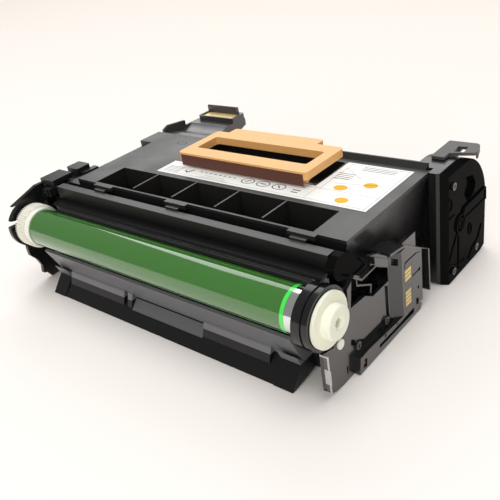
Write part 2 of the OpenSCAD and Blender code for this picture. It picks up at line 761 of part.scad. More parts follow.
module right_side_plate() {
    color([0.06, 0.06, 0.065]) at_drum() difference() {
        union() {
            along_x(plate_x - plate_t, plate_t) plate_outline();
            along_x(plate_x - eps, rim_x - plate_x) rim_outline();
            along_x(plate_x - eps, rail_x - plate_x) rail_outline();
            translate([0, 0, -44]) linear_extrude(48)
                polygon([[plate_x - eps, 61.5], [rail_x, 71], [rail_x, seat_y], [plate_x - eps, seat_y]]);
            along_x(plate_x - eps, 3) polygon([[43.3, 14.8], [57.7, 5.9], [57.2, 0.9], [43.3, 10.2]]);
            along_x(plate_x - eps, 1.2)
                polygon([[23.5, 12], [32, 5.6], [47, 6.1], [47, 7.1], [32.4, 6.8], [25, 12.6]]);
            along_x(plate_x - plate_t, 1)
                polygon([[31.5, 6.5], [31.5, 2.8], [45.8, -5], [44.6, -13], [43.4, -13], [44.6, -5.4], [30.5, 2],
                    [30.5, 6.5]]);
            difference() {
                union() {
                    along_x(house_x1 - 1, plate_x - plate_t - house_x1 + 2) rim_outline();
                    for (p = side_spots)
                        rod(house_x1 - 1, plate_x - plate_t - house_x1 + 2, 3, p[0], p[1]);
                }
                housing_block();
            }
        }
        difference() {
            along_x(plate_x - plate_t - 1, plate_t + 2)
                polygon([[21, -6], [36, -7], [44, -12], [68.4, -11.8], [69.4, -7.2], [47, 6.1], [32, 5.6],
                    [24, 12]]);
            along_x(plate_x - plate_t, 1)
                polygon([[31.5, 6.5], [31.5, 2.8], [45.8, -5], [44.6, -13], [43.4, -13], [44.6, -5.4], [30.5, 2],
                    [30.5, 6.5]]);
            translate([0, 0, -44]) linear_extrude(48)
                polygon([[plate_x - eps, 61.5], [rail_x, 71], [rail_x, seat_y], [plate_x - eps, seat_y]]);
        }
        along_x(plate_x, 20) polygon([[57.7, 20], [57.7, 10.2], [73, 7.6], [104, -11], [120, -11], [120, 20]]);
        rod(ring_x - 1, ring_w + 20, ring_r + loose_fit);
        for (p = side_spots)
            rod(plate_x - plate_t - eps, plate_t + 1, 1.2, p[0], p[1]);
        box(rail_x - 1, rail_x + 1, chip_y - 0.2, chip_y + 9.2, -20.4, -10.4);
        box(rail_x - 1, rail_x + 1, chip_y - 0.2, chip_y + 8.4, -38.4, -25.2);
        side_details();
    }
}

// Grooves, slots and small holes cut into the side plate and its rail
module side_details() {
    along_x(plate_x - 1.5, 3)
        polygon([[18.5, -25.5], [31.5, -33.6], [55.6, -34.4], [64, -40.4], [62, -41.5], [45, -40.2], [30, -39.1],
            [30.8, -37.5], [18, -29.3]]);
    along_x(plate_x - 1.2, 3) polygon([[57, -12.4], [60.8, -14.8], [60.6, -37], [57.2, -33.8]]);
    along_x(rail_x - 2.5, 5) polygon([[41, -45.8], [84, -47], [84.5, -43.4], [60, -44], [41.5, -43.4]]);
    along_x(rail_x - 3, 5) polygon([[24.6, -42.2], [27.4, -43.2], [26.4, -48.2], [22.6, -47.4]]);
    along_x(plate_x + 0.6, 8) polygon([[62.7, 3.4], [68.8, -0.2], [68.4, -4.6], [62.3, -1.3]]);
    rod(rail_x - 2, 4, 1, 48.6, -41.4);
    rod(rail_x - 2, 4, 0.8, 63, -42.4);
    rod(rail_x - 2, 4, 1.3, 92.6, -19.8);
    rod(rail_x - 2, 4, 1.1, 90.8, -32);
    along_x(rail_x - 2, 4) polygon([[87.2, -38.6], [91, -40], [90, -44.4], [87.6, -43.2]]);
    along_x(rail_x - 0.5, 1) polygon([[83.2, -19.2], [91.6, -19.2], [91.6, -20.3], [83.2, -20.3]]);
    along_x(rail_x - 0.5, 1) polygon([[73.4, -9.4], [74.6, -5.6], [79.4, -5.4], [90.2, -5.8], [95.2, -8.8], [90, -7],
        [79.2, -6.6], [75.2, -6.8], [74.6, -9.4]]);
    box(plate_x - 1, plate_x + 1, 12, 13.2, -45.5, -40);
    rod(plate_x - plate_t - 1, plate_t + 2, 1.8, 7.7, -21.1);
    rod(plate_x - 1, 2, 1.2, 1.2, -18.6);
}

module chip(y0, y1, z0, z1) {
    color([0.75, 0.62, 0.3]) at_drum() box(rail_x - 1, rail_x, y0, y1, z0, z1);
}

module chip_upper() {
    chip(chip_y, chip_y + 9, -20.2, -10.6);
}

module chip_lower() {
    chip(chip_y, chip_y + 8.2, -38.2, -25.4);
}

// Springy contact wire in front of the plate, with its pale clamp
module contact_strip() {
    wire_x = plate_x + 2.6;
    color([0.8, 0.8, 0.78]) at_drum() {
        box(wire_x, wire_x + 0.8, -8.6, -8, -43, -17.5);
        for (z = [-43, -18.5])
            box(plate_x - 2, wire_x + eps, -8.6, -8, z, z + 1);
        box(plate_x + 0.2, wire_x + 1.2, -8.6, -8, -36.5, -26.5);
    }
}

module contact_pin() {
    color([0.9, 0.9, 0.88]) at_drum() difference() {
        union() {
            rod(plate_x - plate_t, plate_t, 1.8, 7.7, -21.1);
            rod(plate_x, 1, 3, 7.7, -21.1);
        }
        rod(plate_x + 0.4, 1, 1.4, 7.7, -21.1);
    }
}

// Handle frame with its grip bar, arms, rear bar and hinge flap
module carry_handle() {
    thick = 5.5;
    low = handle_top - thick;
    color([0.95, 0.68, 0.4]) at_drum() difference() {
        union() {
            along_x(handle_left + 3, handle_w - 6)
                polygon([[grip_y, handle_top - 1], [grip_y + 1, handle_top], [grip_y + grip_d, handle_top],
                    [grip_y + grip_d, low], [grip_y + 5.5, deck_rise + 2], [grip_y + 4.3, deck_rise + 2]]);
            round_box(handle_left, handle_right, grip_y, rear_bar_y + 10.5, low, handle_top, 3);
            round_box(flap_x0, flap_x1, rear_bar_y, hinge_y + 4.5, handle_top - 3, handle_top, 2);
            rod(flap_x0 + 0.5, flap_x1 - flap_x0 - 1, barrel_r, hinge_y, hinge_z);
            box(flap_x0 + 2, flap_x1 - 2, hinge_y - barrel_r, hinge_y + 1, hinge_z, handle_top - 1);
        }
        round_box(handle_left + handle_arm, handle_right - handle_arm, grip_y + grip_d, rear_bar_y, low - 1,
            handle_top + 1, 2);
        translate([0, 0, low]) rotate([0, 0, 0]) box(handle_left - 1, handle_right + 1, grip_y - 3, grip_y, -20, 20);
        rod(flap_x0 - 1, flap_x1 - flap_x0 + 2, rod_r + run_fit, hinge_y, hinge_z);
    }
}

module handle_rod() {
    color([0.75, 0.75, 0.76]) at_drum() rod(flap_x0 - 6, flap_x1 - flap_x0 + 12, rod_r, hinge_y, hinge_z);
}

module label_sheet() {
    color([0.93, 0.93, 0.9]) at_drum() translate([0, 0, deck_rise]) linear_extrude(0.25)
        polygon([[handle_left - 11.5, well_y0 - 22.5], [deck_right - 8, well_y0 - 22.5],
            [deck_right - 8, well_y1 + 0.5],
            [well_x1 + 1.5, well_y1 + 0.5], [well_x1 + 1.5, well_y0 - 3], [handle_left - 11.5, well_y0 - 3]]);
}

// Outline of the rear gear housing, seen from its end
module block_outline(grow = 0) {
    intersection() {
        union() {
            translate([block_y, block_z]) circle(r = big_r + grow, $fn = 96);
            polygon([[block_front - grow, deck_rise], [block_y, deck_rise + grow], [block_y + big_r + grow, block_z],
                [block_y + big_r + grow, floor_z + 2], [block_y + big_r - 8, floor_z], [block_front + 1.5, floor_z],
                [block_front - grow, floor_z + 2]]);
        }
        translate([block_front - grow, floor_z - grow])
            square([arm_d + 20, deck_rise - floor_z + 2 * grow]);
    }
}

// Slanted front and top edge of the gear housing's outer face
module block_bevel() {
    translate([0, 0, floor_z - 1]) linear_extrude(deck_rise - floor_z + 2)
        polygon([[block_x - 2.2, block_front - 0.1], [block_x - 2.2, block_front - 3], [cover_x + 1, block_front - 3],
            [cover_x + 1, block_front + 4]]);
    translate([0, block_y + 20, 0]) rotate([90, 0, 0]) linear_extrude(50)
        polygon([[block_x + 0.6, deck_rise + 0.1], [cover_x + 1, deck_rise - 3.6], [cover_x + 1, deck_rise + 3],
            [block_x + 0.6, deck_rise + 3]]);
}

module rear_gear_housing() {
    x0 = deck_right - 13;
    color([0.045, 0.045, 0.05]) at_drum() difference() {
        union() {
            along_x(x0, block_x - x0) block_outline();
            shutter_guide();
        }
        box(x0 - 5, deck_right + 0.2, back_y - 30, back_y, floor_z - 1, deck_rise + 5);
        difference() {
            along_x(x0 + wall, block_x - x0) block_outline(-wall);
            box(x0, block_x + 1, back_y - 30, back_y + wall, floor_z, deck_rise);
            shutter_guide();
        }
        translate([deck_right - 2.5, back_y + 15, 0]) cylinder(h = deck_rise + 1, r = 2.2);
        block_bevel();
    }
}

// Post under the shutter, with the dosing port through it
module shutter_guide() {
    round_box(deck_right - 6, deck_right + 1, back_y + 8, back_y + 35, deck_rise - 26, deck_rise, 1);
}

// Annular rib on the outer face of the cover
module face_ring(r, w, y, z, h = 0.6) {
    difference() {
        rod(cover_x - eps, h + eps, r, y, z);
        rod(cover_x - 1, h + 2, r - w, y, z);
    }
}

// Raised relief on the cover: hub rings, lever arm, bearing boss and thin ribs
module cover_relief() {
    arm_z = block_z + 3.6;
    hub_z = block_z - 1;
    face_y = block_front + 4.2;
    for (r = [6.4, 3.6])
        face_ring(r, 0.9, block_y - 1, hub_z, 1.2);
    rod(cover_x - eps, 0.6, 3, block_y - 1, hub_z);
    difference() {
        along_x(cover_x - eps, 1.4)
            polygon([[block_y - 2, arm_z - 4], [block_y + 5, arm_z + 4.4], [block_y + big_r - 2, arm_z + 4.6],
                [block_y + big_r - 1.5, arm_z - 4.8], [block_y + 16, arm_z - 4.4]]);
        along_x(cover_x + 0.7, 2)
            polygon([[block_y + 1, arm_z - 3], [block_y + 6, arm_z + 3.4], [block_y + big_r - 2.5, arm_z + 3.6],
                [block_y + big_r - 2.5, arm_z - 3.8], [block_y + 16, arm_z - 3.4]]);
        rod(cover_x - 1, 4, 5.5, block_y - 1, hub_z);
    }
    for (p = [[block_y - 15.5, block_z + 18.5], [block_y + 15.5, block_z - 13.3]])
        difference() {
            along_x(cover_x - eps, 0.7) translate(p) scale([0.6, 1]) circle(r = 4.5);
            along_x(cover_x - 1, 3) translate(p) scale([0.54, 1]) circle(r = 3.7);
        }
    along_x(cover_x - eps, 0.7) intersection() {
        difference() {
            translate([block_y + 7, block_z + 6]) circle(r = 38.9);
            translate([block_y + 7, block_z + 6]) circle(r = 38.1);
        }
        translate([face_y, floor_z]) square([block_y + 7 - face_y, 40]);
    }
    along_x(cover_x - eps, 0.7)
        translate([face_y, block_z + 8.4]) square([block_y - 9 - face_y, 0.8]);
    along_x(cover_x - eps, 0.7) translate([block_y - 3, -45]) square([0.8, 25.5]);
    along_x(cover_x - eps, 0.7)
        polygon([[block_y - 5, block_z - 6], [face_y, block_z - 21], [face_y, block_z - 22.2],
            [block_y - 4, block_z - 7]]);
    along_x(cover_x - eps, 0.7) polygon([[block_y + 34.6, -28.5], [block_y + 29.1, -36.7], [block_y + 19.4, -40],
        [block_y + 12.9, -46], [block_y + 13.7, -46.5], [block_y + 20, -40.7], [block_y + 29.6, -37.4],
        [block_y + 35.4, -28.9]]);
}

module gear_housing_cover() {
    color([0.04, 0.04, 0.045]) at_drum() difference() {
        union() {
            along_x(block_x, cover_x - block_x) block_outline();
            cover_relief();
        }
        along_x(cover_x - 3, 5) intersection() {
            polygon([[block_y + 4, deck_rise - 12], [block_y + 19, deck_rise - 16], [block_y + 25, deck_rise - 25],
                [block_y + 23.4, deck_rise - 30], [block_y + 10.4, deck_rise - 31.5], [block_y + 6, deck_rise - 25]]);
            translate([block_y + 13, deck_rise - 22]) scale([1, 0.95]) circle(r = 11);
        }
        for (p = cover_spots)
            rod(block_x - 1, 10, 1.2, p[0], p[1]);
        block_bevel();
    }
}

// L-shaped sliding plate over the dosing port, folded down at its tip
module port_shutter() {
    low = deck_rise + loose_fit;
    tip_x = coat_len + right_over;
    color([0.4, 0.39, 0.38]) at_drum() difference() {
        union() {
            round_box(deck_right - 8, deck_right + 1, back_y + 13, back_y + 41, low, low + 2, 1);
            translate([0, 0, low]) linear_extrude(2)
                polygon([[deck_right - 2, back_y + 22], [deck_right + 1, back_y + 20.6],
                    [tip_x - 1.5, back_y + 25.6], [tip_x, back_y + 27.5], [tip_x - 3.4, back_y + 39],
                    [tip_x - 5.5, back_y + 41], [deck_right - 2, back_y + 41]]);
            for (x = [deck_right - 8, deck_right + 1 + loose_fit])
                box(x, x + 1.7, back_y + 29.5, back_y + 36, deck_rise - 1.5, low + 1);
            translate([0, 0, low - 2.5]) linear_extrude(3.5) polygon([[tip_x, back_y + 27.5], [tip_x - 3.4, back_y + 39],
                [tip_x - 4.6, back_y + 38.6], [tip_x - 1.2, back_y + 27.1]]);
        }
        translate([0, 0, low - 1]) linear_extrude(4)
            polygon([[deck_right + 2.6, back_y + 23.6], [deck_right + 9, back_y + 24.8],
                [deck_right + 8, back_y + 33.6], [deck_right + 1.8, back_y + 32.8]]);
    }
}

module left_contact_arm() {
    x1 = 47;
    low = deck_rise - 23;
    floor_top = deck_rise - 5;
    color([0.05, 0.05, 0.055]) at_drum() difference() {
        union() {
            along_x(house_x0, x1 - house_x0)
                polygon([[back_y, low], [rear_y - 6, low + 10], [rear_y, low + 12], [rear_y, floor_top],
                    [back_y, floor_top + 1]]);
            along_x(house_x0, 2.2) polygon([[back_y, floor_top], [back_y, deck_rise], [back_y + 6, deck_rise + 2.5],
                [back_y + 26, deck_rise], [back_y + 26, floor_top]]);
            round_box(house_x0 + 4, x1, back_y + 41.5, rear_y, floor_top - 1, floor_top + 4.5, 1.5);
            along_x(house_x0 + 4, x1 - house_x0 - 10) union() {
                translate([rear_y - 3, floor_top]) square([3, 8]);
                translate([rear_y - 1.5, floor_top + 8]) circle(r = 1.5);
            }
        }
        box(house_x0 + 6, x1 - 2, back_y + 43, rear_y - 3, floor_top + 2, floor_top + 12);
        translate([0, back_y + 22, floor_top + 26]) rod(house_x0 + 2.2, x1, 28);
    }
}

module contact_board() {
    color([0.85, 0.7, 0.45]) at_drum()
        box(house_x0 + 6.5, 44.5, deck_back + 47.5, rear_y - 3.5, deck_rise - 3, deck_rise - 1.6);
}

module rear_feet() {
    color([0.05, 0.05, 0.055]) at_drum() for (x = [house_x0 + 8, house_x1 - 24])
        round_box(x, x + 16, back_y - 20, back_y - 8, floor_z, bottom_z, 3);
}

// Pan head screw along +X with a cross recess
module screw(x, y, z, r = 2.6) {
    translate([x, y, z]) difference() {
        union() {
            rod(0, 1.4, r);
            rod(-plate_t, plate_t + eps, 1.2);
        }
        box(0.8, 2, -1.6, 1.6, -0.35, 0.35);
        box(0.8, 2, -0.35, 0.35, -1.6, 1.6);
    }
}

module side_screws() {
    color([0.7, 0.7, 0.7]) at_drum() for (p = side_spots)
        screw(plate_x, p[0], p[1]);
}

module cover_screws() {
    color([0.7, 0.7, 0.7]) at_drum() for (p = cover_spots)
        screw(cover_x, p[0], p[1]);
}

drum_tube();
drum_gear();
drum_hub();
gear_pin();
hub_ring();
left_end_frame();
main_housing();
top_cover();
front_beam();
beam_end_cap();
blade_bracket();
cleaning_blade();
waste_auger();
waste_gear();
lower_tray();
charge_roller();
charge_shaft();
charge_bearing_left();
charge_bearing_right();
charge_spring_left();
charge_spring_right();
developer_roller();
developer_gear();
doctor_blade();
mixing_auger_front();
mixing_auger_rear();
mixing_gear_left();
mixing_gear_front();
mixing_gear_rear();
right_side_plate();
chip_upper();
chip_lower();
contact_strip();
contact_pin();
carry_handle();
handle_rod();
label_sheet();
rear_gear_housing();
gear_housing_cover();
port_shutter();
left_contact_arm();
contact_board();
rear_feet();
side_screws();
cover_screws();
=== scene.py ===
"""Looks of the printer drum unit: materials, small prints and contacts, light and camera."""

import math

import bpy
from mathutils import Matrix, Vector


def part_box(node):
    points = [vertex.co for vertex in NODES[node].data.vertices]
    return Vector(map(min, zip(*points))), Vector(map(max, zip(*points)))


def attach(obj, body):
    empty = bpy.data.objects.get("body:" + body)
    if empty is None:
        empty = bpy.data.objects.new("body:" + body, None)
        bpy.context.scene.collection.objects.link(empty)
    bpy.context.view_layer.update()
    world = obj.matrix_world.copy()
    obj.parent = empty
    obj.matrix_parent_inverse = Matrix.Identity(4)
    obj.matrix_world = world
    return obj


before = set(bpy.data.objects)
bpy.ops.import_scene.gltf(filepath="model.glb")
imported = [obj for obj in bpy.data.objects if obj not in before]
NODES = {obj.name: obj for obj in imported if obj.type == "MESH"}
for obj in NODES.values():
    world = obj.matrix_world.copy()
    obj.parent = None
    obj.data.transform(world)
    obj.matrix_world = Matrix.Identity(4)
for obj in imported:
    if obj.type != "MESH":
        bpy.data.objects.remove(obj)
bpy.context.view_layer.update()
MM = 0.001

# Place of the drum frame: X from the left end of the coating, Y and Z from the drum axis
DRUM = Vector((-123.0, -84.75, 50.0))
COATING_LEN = 236.0
COATING_EDGE = 3.0
DECK_Z = 31.0


def at(x, y, z):
    """A point of the drum frame in millimetres, as metres of the scene."""
    return (DRUM + Vector((x, y, z))) * MM


def in_drum_frame(corner):
    """A corner of the scene in metres, as a point of the drum frame in millimetres."""
    return tuple(value / MM - offset for value, offset in zip(corner, DRUM))


# ---------------------------------------------------------------- materials

BUMP_DISTANCE = 0.0002
NOISE_DETAIL = 3.0
NOISE_LOW, NOISE_HIGH = 0.35, 0.65
WEAR_SCALE = 35.0
LEAST_ROUGHNESS = 0.02
SOFT_COAT_ROUGHNESS = 0.08
HARD_COAT_ROUGHNESS = 0.03
HARD_COAT_IOR = 1.76


def new_material(name):
    mat = bpy.data.materials.new(name)
    mat.use_nodes = True
    tree = mat.node_tree
    shader = tree.nodes["Principled BSDF"]
    return mat, tree, shader


def object_coords(tree):
    coords = tree.nodes.new("ShaderNodeTexCoord")
    return coords.outputs["Object"]


def add_noise(tree, scale):
    noise = tree.nodes.new("ShaderNodeTexNoise")
    noise.inputs["Scale"].default_value = scale
    noise.inputs["Detail"].default_value = NOISE_DETAIL
    tree.links.new(object_coords(tree), noise.inputs["Vector"])
    return noise


def add_bump(tree, shader, scale, strength):
    noise = add_noise(tree, scale)
    bump = tree.nodes.new("ShaderNodeBump")
    bump.inputs["Strength"].default_value = strength
    bump.inputs["Distance"].default_value = BUMP_DISTANCE
    tree.links.new(noise.outputs["Fac"], bump.inputs["Height"])
    tree.links.new(bump.outputs["Normal"], shader.inputs["Normal"])


def vary_roughness(tree, shader, low, high):
    noise = add_noise(tree, WEAR_SCALE)
    remap = tree.nodes.new("ShaderNodeMapRange")
    remap.inputs["From Min"].default_value = NOISE_LOW
    remap.inputs["From Max"].default_value = NOISE_HIGH
    remap.inputs["To Min"].default_value = low
    remap.inputs["To Max"].default_value = high
    tree.links.new(noise.outputs["Fac"], remap.inputs["Value"])
    tree.links.new(remap.outputs["Result"], shader.inputs["Roughness"])


def solid(name, color, roughness, metallic=0.0, coat=0.0, grain=0.0, grain_scale=900.0,
          wear=0.0, level=0.5):
    """A material of one colour, where asked with a fine grain and a slightly uneven gloss."""
    mat, tree, shader = new_material(name)
    shader.inputs["Base Color"].default_value = (*color, 1.0)
    shader.inputs["Roughness"].default_value = roughness
    shader.inputs["Metallic"].default_value = metallic
    shader.inputs["Coat Weight"].default_value = coat
    shader.inputs["Coat Roughness"].default_value = SOFT_COAT_ROUGHNESS
    shader.inputs["Specular IOR Level"].default_value = level
    if grain:
        add_bump(tree, shader, grain_scale, grain)
    if wear:
        vary_roughness(tree, shader, max(LEAST_ROUGHNESS, roughness - wear), roughness + wear)
    return mat


def place_on_axis(tree, axis, low, high):
    """The coordinate along an axis, and its share of the way from low to high, in metres."""
    split = tree.nodes.new("ShaderNodeSeparateXYZ")
    tree.links.new(object_coords(tree), split.inputs["Vector"])
    remap = tree.nodes.new("ShaderNodeMapRange")
    remap.inputs["From Min"].default_value = low
    remap.inputs["From Max"].default_value = high
    tree.links.new(split.outputs[axis], remap.inputs["Value"])
    return split.outputs[axis], remap.outputs["Result"]


def color_bands(name, stops, roughness, axis, length, level, coat=0.0, metal_from=None):
    """A material in bands along an axis, each given as (place in mm, colour).

    The first band gives the start of the length, and metal_from the place where metal begins.
    """
    mat, tree, shader = new_material(name)
    origin = at(0, 0, 0)["XYZ".index(axis)]
    start = stops[0][0]
    place, share = place_on_axis(tree, axis, origin + start * MM, origin + (start + length) * MM)
    ramp = tree.nodes.new("ShaderNodeValToRGB")
    ramp.color_ramp.interpolation = "CONSTANT"
    tree.links.new(share, ramp.inputs["Fac"])
    elements = ramp.color_ramp.elements
    while len(elements) > 1:
        elements.remove(elements[-1])
    for index, (band_start, color) in enumerate(stops):
        position = (band_start - start) / length
        element = elements[0] if index == 0 else elements.new(position)
        element.position = position
        element.color = (*color, 1.0)
    tree.links.new(ramp.outputs["Color"], shader.inputs["Base Color"])
    if metal_from is not None:
        step = tree.nodes.new("ShaderNodeMath")
        step.operation = "GREATER_THAN"
        step.inputs[1].default_value = origin + metal_from * MM
        tree.links.new(place, step.inputs[0])
        tree.links.new(step.outputs["Value"], shader.inputs["Metallic"])
    shader.inputs["Roughness"].default_value = roughness
    shader.inputs["Specular IOR Level"].default_value = level
    shader.inputs["Coat Weight"].default_value = coat
    shader.inputs["Coat Roughness"].default_value = HARD_COAT_ROUGHNESS
    shader.inputs["Coat IOR"].default_value = HARD_COAT_IOR
    return mat


# Black plastics, from dull to glossy
black = solid("black_plastic", (0.010, 0.010, 0.011), 0.3, grain=0.1, wear=0.06)
black_cover = solid("black_cover", (0.018, 0.0175, 0.0155), 0.36,
                    grain=0.16, wear=0.05, level=0.46)
black_gloss = solid("black_gloss", (0.007, 0.007, 0.008), 0.14, grain=0.03, wear=0.04)
black_frame = solid("black_frame", (0.010, 0.010, 0.010), 0.3, grain=0.1, wear=0.05)
black_deep = solid("black_deep", (0.004, 0.004, 0.004), 0.3, coat=0.08, level=0.0)
# Near black for the groove ring on the deck, and for a painted shade line along the knee of the
# tray
groove_and_painted_shade = solid("deck_groove", (0.004, 0.004, 0.004), 0.6, level=0.1)
satin_plate = solid("satin_plate", (0.013, 0.013, 0.0135), 0.2,
                    coat=0.4, grain=0.06, wear=0.04, level=0.7)
# The contact arm is partly a painted sheen: its lighter grey base colour stands in for sheen,
# and its stronger gloss is its own
painted_sheen_arm = solid("painted_sheen_arm", (0.035, 0.035, 0.034), 0.34, grain=0.1, wear=0.05, level=1.0)

# The beam is painted with a lighter strip along its top, a painted sheen, and the tray is
# painted grey above its knee, a painted reflection of the floor, with a near black skirt below
BEAM_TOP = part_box("front_beam")[1][2] / MM - DRUM.z
SHEEN_STRIP_T = 0.3
SKIRT_TOP = -36.8
painted_sheen_beam = color_bands(
    "beam_plastic_painted_sheen", [(0, (0.003, 0.003, 0.0035)), (BEAM_TOP - SHEEN_STRIP_T, (0.05, 0.049, 0.048))],
    0.34, axis="Z", length=40.0, level=0.3)
painted_reflection_tray = color_bands(
    "tray_plastic_painted_reflection", [(-60, (0.007, 0.007, 0.0075)), (SKIRT_TOP, (0.17, 0.17, 0.177))],
    0.3, axis="Z", length=60.0, level=0.35)

# The coating ends in a light edge, and the tube is bare beside it
GREEN = (0.036, 0.165, 0.018)
GREEN_EDGE = (0.06, 0.78, 0.09)
ALUMINIUM = (0.78, 0.78, 0.8)
coating = color_bands(
    "drum_coating",
    [(0, GREEN), (COATING_LEN - COATING_EDGE, GREEN_EDGE), (COATING_LEN, ALUMINIUM)],
    0.12, axis="X", length=250.0, level=0.25, coat=1.0, metal_from=COATING_LEN)

# Coloured and white plastics
white = solid("white_plastic", (0.9, 0.89, 0.8), 0.42, grain=0.04)
hub_white = solid("hub_white", (0.9, 0.91, 0.76), 0.45, grain=0.04)
orange = solid("orange_plastic", (0.87, 0.47, 0.165), 0.45, grain=0.1)
# Painted shade: dark brown for the front face of the handle's front bar, orange plastic that
# lies in shade
shade_brown = solid("handle_painted_shade", (0.11, 0.034, 0.02), 0.6)
grey = solid("grey_plastic", (0.075, 0.07, 0.065), 0.5, grain=0.1)
# Painted reflection of the floor: grey for a strip on the tray's sloping panel
painted_reflection_grey = solid("painted_reflection_grey", (0.125, 0.127, 0.132), 0.3, grain=0.05)
red = solid("red_mark", (0.55, 0.03, 0.05), 0.45)

# Metals, boards and rubber
steel = solid("steel", (0.6, 0.6, 0.6), 0.3, metallic=1.0, wear=0.08)
dark_steel = solid("dark_steel", (0.12, 0.12, 0.12), 0.35, metallic=1.0, wear=0.08)
sleeve = solid("developer_sleeve", (0.3, 0.3, 0.31), 0.5,
               metallic=0.8, grain=0.3, grain_scale=1500.0)
gold = solid("gold", (0.86, 0.66, 0.3), 0.4, metallic=0.6)
board = solid("contact_board", (0.16, 0.17, 0.12), 0.45)
polyurethane = solid("blade_rubber", (0.012, 0.009, 0.012), 0.5)
rubber = solid("roller_rubber", (0.02, 0.02, 0.022), 0.6, grain=0.1)

# Label
paper = solid("label_paper", (0.9, 0.9, 0.87), 0.5)
ink = solid("label_ink", (0.05, 0.05, 0.055), 0.55)
amber = solid("label_amber", (0.8, 0.45, 0.02), 0.55, level=0.2)
rule_grey = solid("label_rule", (0.45, 0.45, 0.44), 0.55)

# Nodes that aren't named here are plain black plastic
LOOKS = {
    "drum_tube": coating,
    "drum_gear": white,
    "drum_hub": hub_white,
    "gear_pin": steel,
    "hub_ring": black_gloss,
    "top_cover": black_cover,
    "front_beam": painted_sheen_beam,
    "beam_end_cap": black_deep,
    "right_side_plate": satin_plate,
    "rear_gear_housing": black_frame,
    "gear_housing_cover": black_deep,
    "lower_tray": painted_reflection_tray,
    "left_end_frame": black_frame,
    "left_contact_arm": painted_sheen_arm,
    "mixing_gear_left": black_gloss,
    "blade_bracket": steel,
    "cleaning_blade": polyurethane,
    "waste_auger": black_gloss,
    "waste_gear": black_gloss,
    "charge_roller": rubber,
    "charge_shaft": steel,
    "charge_bearing_left": white,
    "charge_bearing_right": white,
    "charge_spring_left": steel,
    "charge_spring_right": steel,
    "developer_roller": sleeve,
    "developer_gear": white,
    "doctor_blade": steel,
    "mixing_gear_front": black_gloss,
    "mixing_gear_rear": black_gloss,
    "chip_upper": board,
    "chip_lower": board,
    "contact_strip": steel,
    "contact_pin": white,
    "carry_handle": orange,
    "handle_rod": steel,
    "label_sheet": paper,
    "port_shutter": grey,
    "contact_board": gold,
    "side_screws": dark_steel,
    "cover_screws": dark_steel,
}

for node_name, node_object in NODES.items():
    node_object.data.materials.clear()
    node_object.data.materials.append(LOOKS.get(node_name, black))


# ------------------------------------------------------------ small pieces

def add_piece(name, verts, faces, material, body, slot):
    mesh = bpy.data.meshes.new(name)
    mesh.from_pydata(verts, [], faces)
    mesh.validate()
    piece = bpy.data.objects.new(name, mesh)
    bpy.context.scene.collection.objects.link(piece)
    piece.data.materials.append(material)
    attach(piece, body)


def prism_faces(count):
    """Faces of a prism whose vertices are one end outline and then the other."""
    ends = [list(range(count))[::-1], list(range(count, 2 * count))]
    sides = [[i, (i + 1) % count, count + (i + 1) % count, count + i] for i in range(count)]
    return ends + sides


def prism(outline, low, high):
    """Vertices and faces of an upright prism over an outline of (x, y) in the drum frame."""
    verts = [at(x, y, z) for z in (low, high) for x, y in outline]
    return verts, prism_faces(len(outline))


def block(x0, x1, y0, y1, z0, z1):
    return prism([(x0, y0), (x1, y0), (x1, y1), (x0, y1)], z0, z1)


def join_shapes(shapes):
    verts, faces = [], []
    for more_verts, more_faces in shapes:
        start = len(verts)
        verts += more_verts
        faces += [[start + i for i in face] for face in more_faces]
    return verts, faces


# --------------------------------------------------------- prints on the deck

LABEL_TOP = DECK_Z + 0.25
INK_T = 0.06


def print_shapes(name, outlines, material, low=LABEL_TOP, slot="label_paper"):
    shapes = [prism(outline, low, low + INK_T) for outline in outlines]
    add_piece(name, *join_shapes(shapes), material, "housing", slot)


def bar(x, y, length, width, angle=0.0):
    """Outline of a bar centred on a point, turned by an angle in degrees."""
    cosine, sine = math.cos(math.radians(angle)), math.sin(math.radians(angle))
    corners = [(-1, -1), (1, -1), (1, 1), (-1, 1)]
    halves = [(sx * length / 2, sy * width / 2) for sx, sy in corners]
    return [(x + cosine * u - sine * v, y + sine * u + cosine * v) for u, v in halves]


def round_point(x, y, radius, squash, turn):
    """A point of an ellipse, at a share of the full turn."""
    angle = 2 * math.pi * turn
    return x + radius * math.cos(angle), y + squash * radius * math.sin(angle)


def disc(x, y, radius, squash, steps=24):
    return [round_point(x, y, radius, squash, i / steps) for i in range(steps)]


def ring(x, y, radius, width, squash, steps=28):
    """A ring as a round of short bars, each its own outline."""
    outlines = []
    for i in range(steps):
        turn, next_turn = i / steps, (i + 1) / steps
        outer = [round_point(x, y, radius, squash, t) for t in (turn, next_turn)]
        inner = [round_point(x, y, radius - width, squash, t) for t in (next_turn, turn)]
        outlines.append(outer + inner)
    return outlines


def outline_bars(corners, width):
    """Bars along the sides of a closed outline."""
    bars = []
    for (x0, y0), (x1, y1) in zip(corners, corners[1:] + corners[:1]):
        length = math.hypot(x1 - x0, y1 - y0) + width
        angle = math.degrees(math.atan2(y1 - y0, x1 - x0))
        bars.append(bar((x0 + x1) / 2, (y0 + y1) / 2, length, width, angle))
    return bars


# Dark marks: a hook, a row of dashes, three dials and some rules, with no words and no signs
DASHES, DASH_X, DASH_Y, DASH_STEP = 8, 105, 71.6, 4.4
DIAL_Y, DIAL_R, DIAL_LINE, DIAL_SQUASH = 71, 5.2, 0.7, 0.75
DIALS = [(148, 45), (161, 0), (174, -45)]

